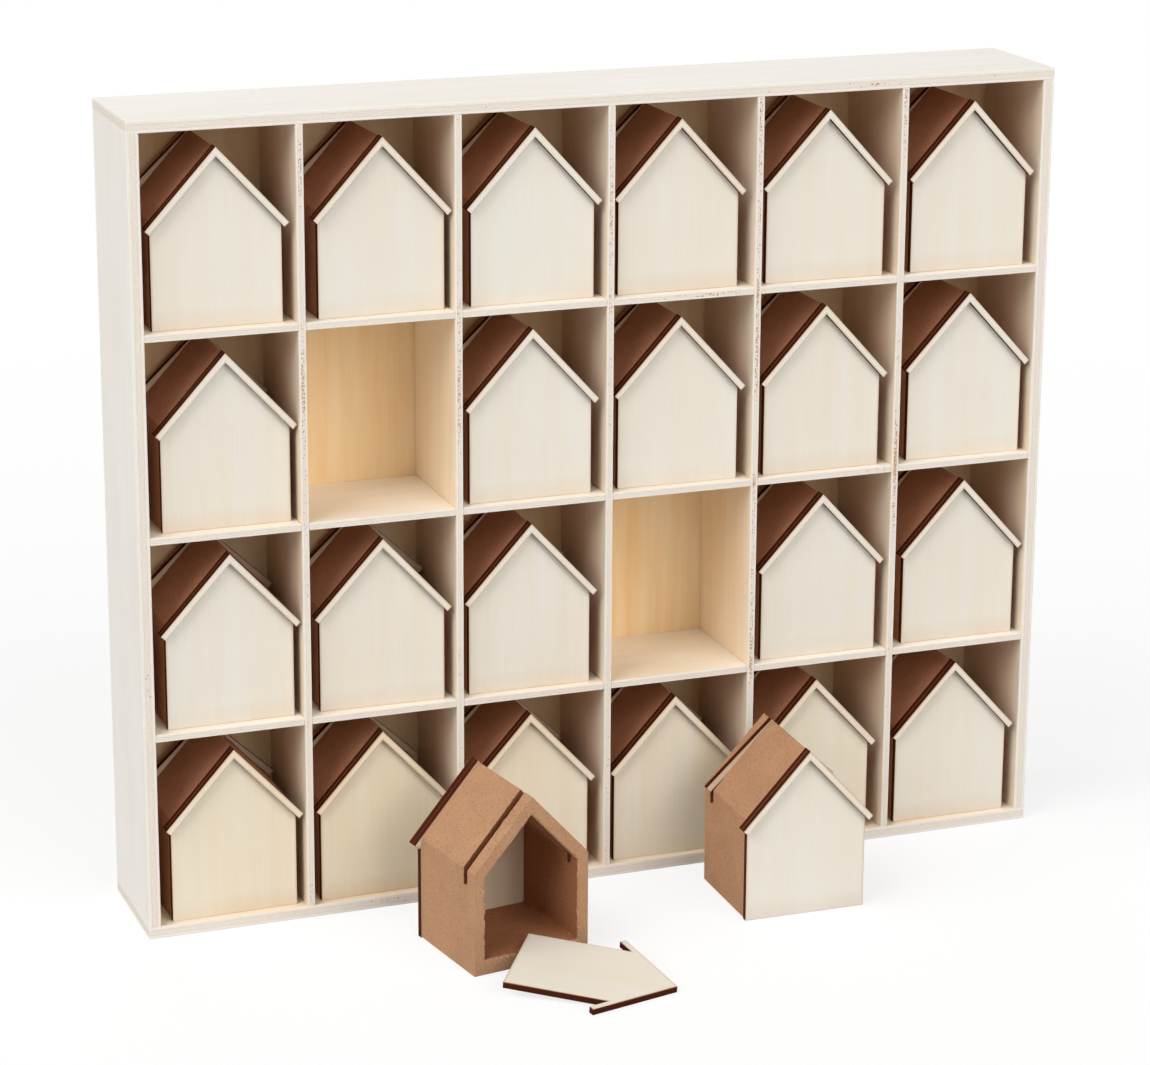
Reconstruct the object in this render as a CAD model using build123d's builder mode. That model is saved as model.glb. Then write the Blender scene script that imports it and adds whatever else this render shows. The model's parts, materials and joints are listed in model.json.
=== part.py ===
from build123d import *
import math
import os

# Wooden advent calendar: a birch plywood cabinet with a halved grid of cells, and gable houses
# of fibreboard and birch plywood that slide into the cells. One house stands open in front of the
# cabinet with its slide plate leaning on the threshold, another stands beside it, closed.
# Lengths are millimetres and angles are degrees. The origin is under the middle of the cabinet's
# base, +X points right, +Y to the back and +Z up.

# House shell, a gable box of fibreboard that is open at one end
shell_width = 57.5
shell_depth = 50.0
wall_height = 48.1
roof_pitch = 47.5
shell_wall = 5.4
shell_roof = 5.9
shell_floor = 7.0

# Saw kerf across the shell for the slide plate, measured from the open end and from the eaves
kerf_setback = 6.6
kerf_below_eaves = 7.6
kerf_clearance = 0.4

# Laser-cut birch plywood of a house: front panel, bargeboard and slide plate
ply_thickness = 3.0
panel_side_lap = 0.5
panel_roof_lap = 0.3
eaves_overhang = 2.85
strip_width = 3.0
plate_side_clearance = 0.5
plate_pitch = 43.4
plate_ridge_lap = 0.3

# Cabinet of plywood boards, with room to spare round a house in each cell
columns = 6
rows = 4
board_thickness = 5.5
grid_thickness = 3.4
back_thickness = 3.0
cell_side_play = 4.5
cell_head_play = 7.9
cell_depth_play = 3.0
halving_clearance = 0.1

# Houses that stand in front of the cabinet: the gap behind each, its place across the cabinet as
# a share of the cabinet's width from the middle, and how far it is turned
open_house_gap = 24.0
open_house_side_share = -0.164
open_house_angle = 9.2
closed_house_gap = 18.7
closed_house_side_share = 0.1597
closed_house_angle = -0.9

# Loose plate: its apex across the threshold as a share of the shell's width, the reach from its
# roof edge on the table to the threshold as a share of the reach to its far corner, and its skew
loose_apex_share = 0.712
loose_reach_share = 0.81
loose_angle = 3.9

# Cells that are empty, by row from the top and column from the left, counted from one
empty_cells = ("row2_col2", "row3_col4")

# How each house sits in its cell: shares of the free play to the right and to the back, and of
# the angle that the side play allows, row by row from the top
side_shares = (
    (-0.20, 0.80, 0.10, -0.80, -0.40, -0.10),
    (0.85, 0.00, -0.40, -0.25, -0.40, 0.85),
    (0.80, 0.75, -0.40, 0.00, 0.30, 0.85),
    (0.45, -0.70, -0.75, -0.55, -0.90, 0.15),
)
depth_shares = (
    (0.35, 0.40, 0.35, 0.15, -0.30, -0.40),
    (0.90, 0.00, -0.20, 0.15, -0.40, 0.20),
    (0.45, 0.25, 0.00, 0.00, -0.10, 0.10),
    (-0.60, 0.00, -0.40, -0.70, -0.85, -0.55),
)
turn_shares = (
    (0.00, 0.30, 0.10, 0.02, -0.20, -0.02),
    (0.01, 0.00, 0.07, -0.20, 0.00, -0.17),
    (0.00, -0.35, -0.13, 0.00, -0.22, -0.11),
    (0.24, 0.22, 0.06, -0.30, 0.10, -0.13),
)

# How far the tools run past a face that they cut through
cut_overrun = 1.0


def tan(angle):
    return math.tan(math.radians(angle))


def cos(angle):
    return math.cos(math.radians(angle))


def sin(angle):
    return math.sin(math.radians(angle))


# Sizes of a house that follow from the driving dimensions
inner_width = shell_width - 2 * shell_wall
ridge_height = wall_height + shell_width / 2 * tan(roof_pitch)
inner_ridge_height = ridge_height - shell_roof / cos(roof_pitch)
inner_eaves_height = inner_ridge_height - inner_width / 2 * tan(roof_pitch)
kerf_width = ply_thickness + kerf_clearance
kerf_bottom = wall_height - kerf_below_eaves
panel_width = shell_width + 2 * panel_side_lap
panel_apex = ridge_height + panel_roof_lap / cos(roof_pitch)
eaves_width = panel_width + 2 * eaves_overhang
plate_width = inner_width - 2 * plate_side_clearance
plate_apex = ridge_height + plate_ridge_lap
house_height = max(panel_apex, plate_apex)
house_depth = shell_depth + 2 * ply_thickness

# Depths in a house, counted from the middle of its footprint towards the open end
open_end = house_depth / 2
kerf_back = open_end - kerf_setback
plate_back = kerf_back - kerf_clearance / 2
panel_back = open_end - shell_depth
panel_front = panel_back - ply_thickness

# Sizes of the cabinet that follow from the houses
cell_width = eaves_width + cell_side_play
cell_height = house_height + cell_head_play
cell_depth = house_depth + cell_depth_play
inner_cabinet_width = columns * cell_width + (columns - 1) * grid_thickness
inner_cabinet_height = rows * cell_height + (rows - 1) * grid_thickness
cabinet_width = inner_cabinet_width + 2 * board_thickness
cabinet_height = inner_cabinet_height + 2 * board_thickness
cabinet_depth = cell_depth + back_thickness
cabinet_front = -cabinet_depth / 2
cell_back = cabinet_front + cell_depth
cell_middle = cabinet_front + cell_depth / 2
column_pitch = cell_width + grid_thickness
row_pitch = cell_height + grid_thickness
side_turn = math.degrees(math.atan(cell_side_play / house_depth))


def column_middle(column):
    return (column - (columns - 1) / 2) * column_pitch


def cell_floor(row):
    return board_thickness + (rows - 1 - row) * row_pitch


divider_middles = [column_middle(column) + column_pitch / 2 for column in range(columns - 1)]
shelf_undersides = [cell_floor(row) - grid_thickness for row in range(rows - 1)]


def upright(base, depth):
    """The vertical plane across a house at a depth, facing the house's front."""
    return Plane(base.from_local_coords((0, depth, 0)), x_dir=base.x_dir, z_dir=-base.y_dir)


def half_footprint(turn):
    """Half the width and half the depth that a turned house takes up."""
    across = (eaves_width * cos(turn) + house_depth * sin(abs(turn))) / 2
    along = (house_depth * cos(turn) + eaves_width * sin(abs(turn))) / 2
    return across, along


def turned_base(x, y, z, turn):
    """The plane that a house stands on, turned about the vertical."""
    return Plane((x, y, z), x_dir=(cos(turn), sin(turn), 0), z_dir=(0, 0, 1))


def cell_base(row, column):
    """Where the house of a cell stands, from its shares of the free play."""
    turn = turn_shares[row][column] * side_turn
    across, along = half_footprint(turn)
    x = column_middle(column) + side_shares[row][column] * (cell_width / 2 - across)
    y = cell_middle + depth_shares[row][column] * (cell_depth / 2 - along)
    return turned_base(x, y, cell_floor(row), turn)


def standing_base(gap, side_share, turn, faces_back):
    """Where a house stands on the table, with a gap behind it to the cabinet."""
    _, along = half_footprint(turn)
    y = cabinet_front - gap - along
    return turned_base(side_share * cabinet_width, y, 0, turn + 180 * faces_back)


def barbed_half(width, foot, apex, pitch):
    """Right half of a gable whose roof runs past its sides as a strip, up to the apex."""
    side = width / 2
    tip = eaves_width / 2
    tip_top = apex - tip * tan(pitch)
    tip_inside = tip - strip_width * sin(pitch)
    tip_low = tip_top - strip_width * cos(pitch)
    notch = tip_low + (tip_inside - side) * tan(pitch)
    return [(0, foot), (side, foot), (side, notch), (tip_inside, tip_low), (tip, tip_top), (0, apex)]


def shell(base):
    """Gable box of fibreboard: a tube along the house with a kerf sawn down through its roof."""
    with BuildPart() as box:
        with BuildSketch(upright(base, open_end)):
            with BuildLine():
                Polyline((0, 0), (shell_width / 2, 0), (shell_width / 2, wall_height), (0, ridge_height))
                mirror(about=Plane.YZ)
            make_face()
            with BuildLine():
                inner_corner = (inner_width / 2, shell_floor)
                inner_eaves = (inner_width / 2, inner_eaves_height)
                Polyline((0, shell_floor), inner_corner, inner_eaves, (0, inner_ridge_height))
                mirror(about=Plane.YZ)
            make_face(mode=Mode.SUBTRACT)
        extrude(amount=shell_depth)
        with BuildSketch(upright(base, kerf_back)):
            with Locations((0, kerf_bottom)):
                kerf_length = shell_width + 2 * cut_overrun
                kerf_height = ridge_height - kerf_bottom + cut_overrun
                Rectangle(kerf_length, kerf_height, align=(Align.CENTER, Align.MIN))
        extrude(amount=kerf_width, mode=Mode.SUBTRACT)
    return box.part


def front_panel(base):
    """Panel glued over the closed end, with short eaves cut in one with it."""
    with BuildPart() as panel:
        with BuildSketch(upright(base, panel_back)):
            with BuildLine():
                Polyline(*barbed_half(panel_width, 0, panel_apex, roof_pitch))
                mirror(about=Plane.YZ)
            make_face()
        extrude(amount=ply_thickness)
    return panel.part


def bargeboard(base):
    """Chevron glued on the front panel, along the same roof line."""
    *_, tip_inside, tip, apex = barbed_half(panel_width, 0, panel_apex, roof_pitch)
    inner_apex = (0, panel_apex - strip_width / cos(roof_pitch))
    with BuildPart() as chevron:
        with BuildSketch(upright(base, panel_front)):
            with BuildLine():
                Polyline(inner_apex, tip_inside, tip, apex)
                mirror(about=Plane.YZ)
            make_face()
        extrude(amount=ply_thickness)
    return chevron.part


def slide_plate(back_plane):
    """Arrow-shaped plate that drops into the kerf, drawn on its back face from the floor up."""
    with BuildPart() as plate:
        with BuildSketch(back_plane):
            with BuildLine():
                Polyline(*barbed_half(plate_width, shell_floor, plate_apex, plate_pitch))
                mirror(about=Plane.YZ)
            make_face()
        extrude(amount=ply_thickness)
    return plate.part


def leaning_plane(base):
    """The underside of the loose plate: one roof edge on the table, leaning on the threshold."""
    along_edge = base.x_dir.rotate(Axis.Z, loose_angle)
    to_house = -base.y_dir.rotate(Axis.Z, loose_angle)
    far_corner = plate_width / 2 * sin(plate_pitch) + (plate_apex - shell_floor) * cos(plate_pitch)
    reach = loose_reach_share * far_corner
    apex_side = -loose_apex_share * shell_width
    threshold_end = base.from_local_coords((-inner_width / 2, open_end, 0))
    side_run = -inner_width / 2 - apex_side
    apex_depth = open_end + (reach + side_run * sin(loose_angle)) / cos(loose_angle)
    apex = base.from_local_coords((apex_side, apex_depth, 0))
    climb = math.degrees(math.atan2(shell_floor, (threshold_end - apex).dot(to_house)))
    uphill = to_house * cos(climb) + Vector(0, 0, 1) * sin(climb)
    across = along_edge * cos(plate_pitch) - uphill * sin(plate_pitch)
    upwards = -along_edge * sin(plate_pitch) - uphill * cos(plate_pitch)
    return Plane(apex - upwards * plate_apex, x_dir=across, z_dir=across.cross(upwards))


def write(piece, name):
    """Labels a finished piece and writes it as the node of that name."""
    piece.label = name
    export_step(piece, f"parts/{name}.step")


def write_set(pieces, name):
    """Writes separate solids as one node."""
    write(Compound(children=pieces), name)


os.makedirs("parts", exist_ok=True)

# Outer boards: top and bottom run the full width, the sides stand between them
with BuildPart() as top_board:
    with BuildSketch(Plane.XY.offset(cabinet_height - board_thickness)):
        Rectangle(cabinet_width, cabinet_depth)
    extrude(amount=board_thickness)
write(top_board.part, "top_board")

with BuildPart() as bottom_board:
    with BuildSketch(Plane.XY):
        Rectangle(cabinet_width, cabinet_depth)
    extrude(amount=board_thickness)
write(bottom_board.part, "bottom_board")

with BuildPart() as left_side:
    with BuildSketch(Plane.XY.offset(board_thickness)):
        with Locations((-cabinet_width / 2, 0)):
            Rectangle(board_thickness, cabinet_depth, align=(Align.MIN, Align.CENTER))
    extrude(amount=inner_cabinet_height)
write(left_side.part, "left_side")

with BuildPart() as right_side:
    with BuildSketch(Plane.XY.offset(board_thickness)):
        with Locations((cabinet_width / 2, 0)):
            Rectangle(board_thickness, cabinet_depth, align=(Align.MAX, Align.CENTER))
    extrude(amount=inner_cabinet_height)
write(right_side.part, "right_side")

# Thin back panel, set in flush with the rear edges of the boards
with BuildPart() as back_panel:
    with BuildSketch(Plane.XY.offset(board_thickness)):
        with Locations((0, cell_back)):
            Rectangle(inner_cabinet_width, back_thickness, align=(Align.CENTER, Align.MIN))
    extrude(amount=inner_cabinet_height)
write(back_panel.part, "back_panel")

# Halved grid: the dividers are slotted from the back and the shelves from the front, so that the
# dividers run through at the front edge
halving_width = grid_thickness + halving_clearance
halving_length = cell_depth / 2 + cut_overrun

with BuildPart() as dividers:
    with BuildSketch(*[Plane.YZ.offset(middle) for middle in divider_middles]):
        with Locations((cell_middle, board_thickness)):
            Rectangle(cell_depth, inner_cabinet_height, align=(Align.CENTER, Align.MIN))
        with Locations(*[(cell_middle, low + grid_thickness / 2) for low in shelf_undersides]):
            halving_place = (Align.MIN, Align.CENTER)
            Rectangle(halving_length, halving_width, align=halving_place, mode=Mode.SUBTRACT)
    extrude(amount=grid_thickness / 2, both=True)
write(dividers.part, "dividers")

with BuildPart() as shelves:
    with BuildSketch(*[Plane.XY.offset(low) for low in shelf_undersides]):
        with Locations((0, cell_middle)):
            Rectangle(inner_cabinet_width, cell_depth)
        with Locations(*[(middle, cell_middle) for middle in divider_middles]):
            halving_place = (Align.CENTER, Align.MAX)
            Rectangle(halving_width, halving_length, align=halving_place, mode=Mode.SUBTRACT)
    extrude(amount=grid_thickness)
write(shelves.part, "shelves")

# Houses in their cells: a shell, and its plywood as a set of three separate pieces
cell_houses = {}
for row in range(rows):
    for column in range(columns):
        cell = f"row{row + 1}_col{column + 1}"
        if cell not in empty_cells:
            cell_houses[f"house_{cell}"] = cell_base(row, column)

for name, base in cell_houses.items():
    write(shell(base), f"{name}_shell")
    plate = slide_plate(upright(base, plate_back))
    write_set([front_panel(base), bargeboard(base), plate], f"{name}_plywood")

# Houses that stand in front: one open, with its loose plate, and one closed
open_base = standing_base(open_house_gap, open_house_side_share, open_house_angle, True)
closed_base = standing_base(closed_house_gap, closed_house_side_share, closed_house_angle, False)
for name, base in {"open_house": open_base, "closed_house": closed_base}.items():
    write(shell(base), f"{name}_shell")
    write(front_panel(base), f"{name}_front_panel")
    write(bargeboard(base), f"{name}_bargeboard")
write(slide_plate(leaning_plane(open_base)), "open_house_slide_plate")
write(slide_plate(upright(closed_base, plate_back)), "closed_house_slide_plate")

print(f"cabinet {cabinet_width:.1f} x {cabinet_depth:.1f} x {cabinet_height:.1f} mm")
print(f"cell {cell_width:.1f} x {cell_depth:.1f} x {cell_height:.1f} mm")
print(f"house {eaves_width:.1f} x {house_depth:.1f} x {house_height:.1f} mm")
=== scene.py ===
# %% [markdown]
# A wooden advent calendar. A cabinet of pale plywood holds a grid of cells, and in each cell stands a
# small gable house of brown fibreboard with laser-cut plywood on its ends. One house stands open in
# front, its slide plate leaning on the threshold, and another stands beside it, closed.
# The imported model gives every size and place. This lesson dresses it: each solid is copied, its edges
# are worn the way its tool leaves them, and it gets a grain and a finish.

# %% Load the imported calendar
import json
import math

import bmesh
import bpy
import numpy as np
from mathutils import Matrix, Vector, noise


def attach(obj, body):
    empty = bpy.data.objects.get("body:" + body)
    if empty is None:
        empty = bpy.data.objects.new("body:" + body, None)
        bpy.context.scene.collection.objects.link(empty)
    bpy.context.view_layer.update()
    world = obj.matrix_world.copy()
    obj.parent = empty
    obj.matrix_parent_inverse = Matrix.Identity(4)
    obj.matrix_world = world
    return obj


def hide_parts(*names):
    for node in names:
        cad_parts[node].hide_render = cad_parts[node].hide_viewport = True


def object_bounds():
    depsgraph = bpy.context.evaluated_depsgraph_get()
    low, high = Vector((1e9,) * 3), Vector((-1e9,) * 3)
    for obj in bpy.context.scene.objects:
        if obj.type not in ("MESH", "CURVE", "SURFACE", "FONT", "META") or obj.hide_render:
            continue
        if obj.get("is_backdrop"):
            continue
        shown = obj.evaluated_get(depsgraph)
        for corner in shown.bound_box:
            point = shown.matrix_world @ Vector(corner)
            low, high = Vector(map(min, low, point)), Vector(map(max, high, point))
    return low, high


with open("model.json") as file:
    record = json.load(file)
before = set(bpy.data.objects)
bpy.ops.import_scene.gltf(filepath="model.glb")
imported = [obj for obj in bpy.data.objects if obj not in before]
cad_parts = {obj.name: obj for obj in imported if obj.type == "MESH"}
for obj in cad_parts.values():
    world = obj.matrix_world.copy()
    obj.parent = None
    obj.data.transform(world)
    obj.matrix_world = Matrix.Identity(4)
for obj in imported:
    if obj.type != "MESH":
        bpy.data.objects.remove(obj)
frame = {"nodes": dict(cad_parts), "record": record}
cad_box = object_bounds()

MM = 0.001

# %% [markdown]
# The camera comes first, so that every later look can be compared with the photograph. Its place was
# found by fitting a pinhole camera to the corners of the cabinet and of the two standing houses. It
# could be set by eye instead, but then no edge would lie over its own pixel. The lens is shifted a
# little, because the photograph was cropped off its middle.

# %% Camera
PHOTO_WIDTH = 1150
PHOTO_HEIGHT = 1065
SENSOR_WIDTH = 36.0
FOCAL_PIXELS = 3533.0
LENS_PIXEL = (600.0, 465.0)
EYE_MM = (-558.1, -1478.4, 638.3)
HEADING, TILT, ROLL = (math.radians(angle) for angle in (20.925, 15.731, 0.408))

lens = bpy.data.cameras.new("photo_camera")
lens.sensor_width = SENSOR_WIDTH
lens.lens = FOCAL_PIXELS / PHOTO_WIDTH * SENSOR_WIDTH
lens.shift_x = (PHOTO_WIDTH / 2 - LENS_PIXEL[0]) / PHOTO_WIDTH
lens.shift_y = (LENS_PIXEL[1] - PHOTO_HEIGHT / 2) / PHOTO_WIDTH
camera = bpy.data.objects.new("photo_camera", lens)
aim = Matrix.Rotation(-HEADING, 4, "Z") @ Matrix.Rotation(math.pi / 2 - TILT, 4, "X")
camera.matrix_world = Matrix.Translation(Vector(EYE_MM) * MM) @ aim @ Matrix.Rotation(ROLL, 4, "Z")
bpy.context.scene.collection.objects.link(camera)
bpy.context.scene.camera = camera
print(f"lens {lens.lens:.1f} mm, shift {lens.shift_x:.3f} {lens.shift_y:.3f}")

# %% [markdown]
# Materials are node trees. One function adds a node, sets its properties and fills its inputs, either
# with a value or with a link from another node. Colours are written as sRGB hex values, as a paint
# chip would be, and turned to the linear values that the renderer works in.


# %% Helpers for materials
def linear(code):
    """The linear colour of an sRGB hex value."""
    shares = [int(code[i:i + 2], 16) / 255 for i in (1, 3, 5)]
    return [s / 12.92 if s <= 0.04045 else ((s + 0.055) / 1.055) ** 2.4 for s in shares] + [1.0]


def add(tree, kind, inputs=None, **settings):
    """Adds a node with its settings. Each input takes a value, or a link from another node's output."""
    node = tree.nodes.new(kind)
    for name, value in settings.items():
        setattr(node, name, value)
    for name, value in (inputs or {}).items():
        if isinstance(value, bpy.types.NodeSocket):
            tree.links.new(value, node.inputs[name])
        else:
            node.inputs[name].default_value = value
    return node


def new_material(name, roughness, specular):
    """A material with only its shader, as dull or glossy as given."""
    material = bpy.data.materials.new(name)
    material.use_nodes = True
    shader = material.node_tree.nodes["Principled BSDF"]
    shader.inputs["Roughness"].default_value = roughness
    shader.inputs["Specular IOR Level"].default_value = specular
    return material, material.node_tree, shader


# %% [markdown]
# The faces of the plywood are rotary-cut birch veneer, sanded and left bare. To the eye that is an even
# cream with a broad watery figure, fine pores drawn out along the grain, and short flecks. A UV map
# called grain carries metres across and along the grain, so one material serves boards, plates and the
# tilted loose plate alike. Where a piece was cut by the laser, an attribute called scorch is 1 at the
# cut and fades inwards, and the veneer is toasted there. Along the foot of a house front the same
# attribute also carries painted warm bounce light from the shelf. Sheets differ: the bottom row of
# houses is yellower, the shelves are paler, and the back panel is basswood. The inside of the cabinet,
# the shelves and the back panel are raw and warmer than the outside, and that warmth is also painted
# shade of the cells. The rear of the plates is darker and warmer as painted shade of the hollow house.
# The pores are drawn about twice as wide as real ones, which the render would not show.

# %% Birch veneer
PORE_MM = (0.5, 34)
FLECK_MM = (0.7, 3.2)
FIGURE_MM = (8, 120)
SHEET_MM = (90, 170)
PORE_DEPTH = 0.03 * MM
WARM_WASH = {"From Min": 0.72, "From Max": 1.28}
PORE_LINES = {"From Min": 0.52, "From Max": 0.74, "To Max": 0.07}
FLECK_DOTS = {"From Min": 0.6, "From Max": 0.72, "To Max": 0.08}
TOAST_PATCHES = {"From Min": 0.3, "From Max": 0.7, "To Min": 0.2, "To Max": 0.6}
PORE_BROWN, FLECK_BROWN, TOAST_BROWN = "#b9986c", "#c9a679", "#b07b48"


def birch_veneer(name, pale, warm):
    """Sanded birch veneer between a pale and a warm cream."""
    material, tree, shader = new_material(name, 0.58, 0.28)
    grain = add(tree, "ShaderNodeUVMap", uv_map="grain").outputs["UV"]
    layers = []
    for width, length in (PORE_MM, FLECK_MM, FIGURE_MM, SHEET_MM):
        scale = (1 / (width * MM), 1 / (length * MM), 1)
        place = add(tree, "ShaderNodeVectorMath", {0: grain, 1: scale}, operation="MULTIPLY")
        cloud = add(tree, "ShaderNodeTexNoise", {"Vector": place.outputs[0], "Scale": 1.0, "Detail": 3.0})
        layers.append(cloud.outputs["Fac"])
    pores, flecks, figure, sheet = layers
    wash = add(tree, "ShaderNodeMath", {0: figure, 1: sheet}, operation="ADD").outputs[0]
    wash = add(tree, "ShaderNodeMapRange", {"Value": wash, **WARM_WASH}).outputs[0]
    lines = add(tree, "ShaderNodeMapRange", {"Value": pores, **PORE_LINES}).outputs[0]
    dots = add(tree, "ShaderNodeMapRange", {"Value": flecks, **FLECK_DOTS}).outputs[0]
    scorch = add(tree, "ShaderNodeAttribute", attribute_name="scorch").outputs["Fac"]
    patches = add(tree, "ShaderNodeMapRange", {"Value": sheet, **TOAST_PATCHES}).outputs[0]
    burn = add(tree, "ShaderNodeMath", {0: scorch, 1: patches}, operation="MULTIPLY").outputs[0]
    tone = linear(pale)
    for cover, colour in ((wash, warm), (lines, PORE_BROWN), (dots, FLECK_BROWN), (burn, TOAST_BROWN)):
        coat = add(tree, "ShaderNodeMix", {0: cover, 6: tone, 7: linear(colour)}, data_type="RGBA")
        tone = coat.outputs[2]
    relief = add(tree, "ShaderNodeBump", {"Strength": 0.25, "Distance": PORE_DEPTH, "Height": pores})
    tree.links.new(tone, shader.inputs["Base Color"])
    tree.links.new(relief.outputs[0], shader.inputs["Normal"])
    return material


board_veneer = birch_veneer("sanded birch veneer of the cabinet", "#ece9e4", "#e8e1d6")
house_veneer = birch_veneer("sanded birch veneer of the houses", "#e6e1d6", "#e5dbc9")
yellow_veneer = birch_veneer("yellower birch veneer of the bottom row", "#e8dfcd", "#e6d6b9")
# Painted shade in part: the inside veneers are raw, and warmer than the outside to stand for the warm shade
# of the cells.
inner_veneer_with_painted_shade = birch_veneer("raw birch veneer inside the cabinet", "#f8ead4", "#f2dbba")
shelf_veneer_with_painted_shade = birch_veneer("paler raw birch veneer of the shelves", "#faf1e3", "#f6e6ce")
# Painted shade: the rear of a plate looks into the dark hollow of a house, so this copy of the veneer is
# darker and warmer.
rear_veneer_with_painted_shade = birch_veneer("raw birch veneer on the rear of the plates", "#dccab2", "#d2bb9d")
back_veneer_with_painted_shade = birch_veneer("raw basswood veneer of the back panel", "#f9e3be", "#efc890")
print("veneers:", [material.name for material in bpy.data.materials if "veneer" in material.name])

# %% [markdown]
# A sawn edge of plywood shows its layers: two pale face plies with the grain running along the edge,
# and between them a core whose end grain is open and pricked with pores. Thin glue lines part them.
# On edge faces the same UV map holds the run along the edge in metres, and the share of the thickness.
# Where the core is torn open, its fibres are reddish and dull, and painted darker as the shade in the pits.

# %% Sawn plywood edge
GLUE_SHARE = 0.44
GLUE_FADE = 0.05
GLUE_LINE = {"From Min": 0.09, "From Max": 0.02, "To Max": 0.45}
PORE_DOT_MM = 0.5
PRICK_DEPTH = 0.08 * MM
PORE_PRICKS = {"From Min": 0.56, "From Max": 0.72, "To Max": 0.4}
EDGE_RUN_MM = 18
EDGE_BANDS = 12.0
EDGE_STREAKS = {"From Min": 0.5, "From Max": 0.75, "To Max": 0.15}
WAVE_MM = 3
WAVE_SHARE = 0.16
SPLINTER_MM = 0.8
PRICK_BROWN, STREAK_BROWN = "#9c7a58", "#cdb491"


def sawn_edge(name, face_ply, core, glue):
    """Cross-section of three-ply board, drawn from the share of its thickness."""
    material, tree, shader = new_material(name, 0.72, 0.2)
    grain = add(tree, "ShaderNodeUVMap", uv_map="grain").outputs["UV"]
    run, share = add(tree, "ShaderNodeSeparateXYZ", {0: grain}).outputs[:2]
    point = add(tree, "ShaderNodeTexCoord").outputs["Object"]
    wave = add(tree, "ShaderNodeTexNoise", {"Vector": point, "Scale": 1 / (WAVE_MM * MM), "Detail": 2.0})
    out = add(tree, "ShaderNodeMath", {0: wave.outputs["Fac"], 1: WAVE_SHARE, 2: share},
              operation="MULTIPLY_ADD")
    out = add(tree, "ShaderNodeMath", {0: out.outputs[0], 1: (1 + WAVE_SHARE) / 2}, operation="SUBTRACT")
    out = add(tree, "ShaderNodeMath", {0: out.outputs[0]}, operation="ABSOLUTE")
    out = add(tree, "ShaderNodeMath", {0: out.outputs[0], 1: 2.0}, operation="MULTIPLY").outputs[0]
    in_core = add(tree, "ShaderNodeMapRange", {
        "Value": out, "From Min": GLUE_SHARE + GLUE_FADE, "From Max": GLUE_SHARE - GLUE_FADE}).outputs[0]
    pores = add(tree, "ShaderNodeTexNoise", {
        "Vector": point, "Scale": 1 / (PORE_DOT_MM * MM), "Detail": 1.0}).outputs["Fac"]
    pricks = add(tree, "ShaderNodeMapRange", {"Value": pores, **PORE_PRICKS}).outputs[0]
    pricks = add(tree, "ShaderNodeMath", {0: pricks, 1: in_core}, operation="MULTIPLY").outputs[0]
    gap = add(tree, "ShaderNodeMath", {0: out, 1: GLUE_SHARE}, operation="SUBTRACT").outputs[0]
    gap = add(tree, "ShaderNodeMath", {0: gap}, operation="ABSOLUTE").outputs[0]
    line = add(tree, "ShaderNodeMapRange", {"Value": gap, **GLUE_LINE}).outputs[0]
    along = add(tree, "ShaderNodeCombineXYZ", {0: run, 1: share}).outputs[0]
    scale = (1 / (EDGE_RUN_MM * MM), EDGE_BANDS, 1)
    along = add(tree, "ShaderNodeVectorMath", {0: along, 1: scale}, operation="MULTIPLY").outputs[0]
    streak = add(tree, "ShaderNodeTexNoise", {"Vector": along, "Scale": 1.0, "Detail": 3.0}).outputs["Fac"]
    streak = add(tree, "ShaderNodeMapRange", {"Value": streak, **EDGE_STREAKS}).outputs[0]
    tone = linear(face_ply)
    for cover, colour in ((in_core, core), (pricks, PRICK_BROWN), (line, glue), (streak, STREAK_BROWN)):
        coat = add(tree, "ShaderNodeMix", {0: cover, 6: tone, 7: linear(colour)}, data_type="RGBA")
        tone = coat.outputs[2]
    relief = add(tree, "ShaderNodeBump", {"Strength": 0.5, "Distance": PRICK_DEPTH, "Height": pores})
    tree.links.new(tone, shader.inputs["Base Color"])
    tree.links.new(relief.outputs[0], shader.inputs["Normal"])
    return material


board_edge = sawn_edge("sawn edge of birch plywood", "#ebe4da", "#e6ded2", "#d0b9a0")
# Painted shade in part: the pit faces are reddish torn fibre, and darker brown than the edge as the shade
# inside the pits.
torn_core_with_painted_shade, void_tree, void_shader = new_material("torn core of birch plywood, darker as painted shade", 0.85, 0.1)
place = add(void_tree, "ShaderNodeTexCoord").outputs["Object"]
spots = add(void_tree, "ShaderNodeTexNoise", {
    "Vector": place, "Scale": 1 / (SPLINTER_MM * MM), "Detail": 2.0})
spots = add(void_tree, "ShaderNodeMix", {
    0: spots.outputs["Fac"], 6: linear("#b98764"), 7: linear("#dcbd9c")}, data_type="RGBA")
void_tree.links.new(spots.outputs[2], void_shader.inputs["Base Color"])
print("edges:", board_edge.name, "/", torn_core_with_painted_shade.name)

# %% [markdown]
# The laser chars what it cuts: the edges of the house plywood are a dark reddish brown, quite matt, and
# finely combed through the thickness by the pulsing beam. The outermost ply, where the beam enters, is
# only toasted. The combing is drawn coarser than the real 0.1 mm so that it shows.

# %% Laser-burnt plywood edge
COMB_MM = 0.45
COMB_BANDS = 0.8
COMB_DEPTH = 0.06 * MM
OUTER_PLY = {"From Min": 0.86, "From Max": 0.98, "To Max": 0.6}


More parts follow.
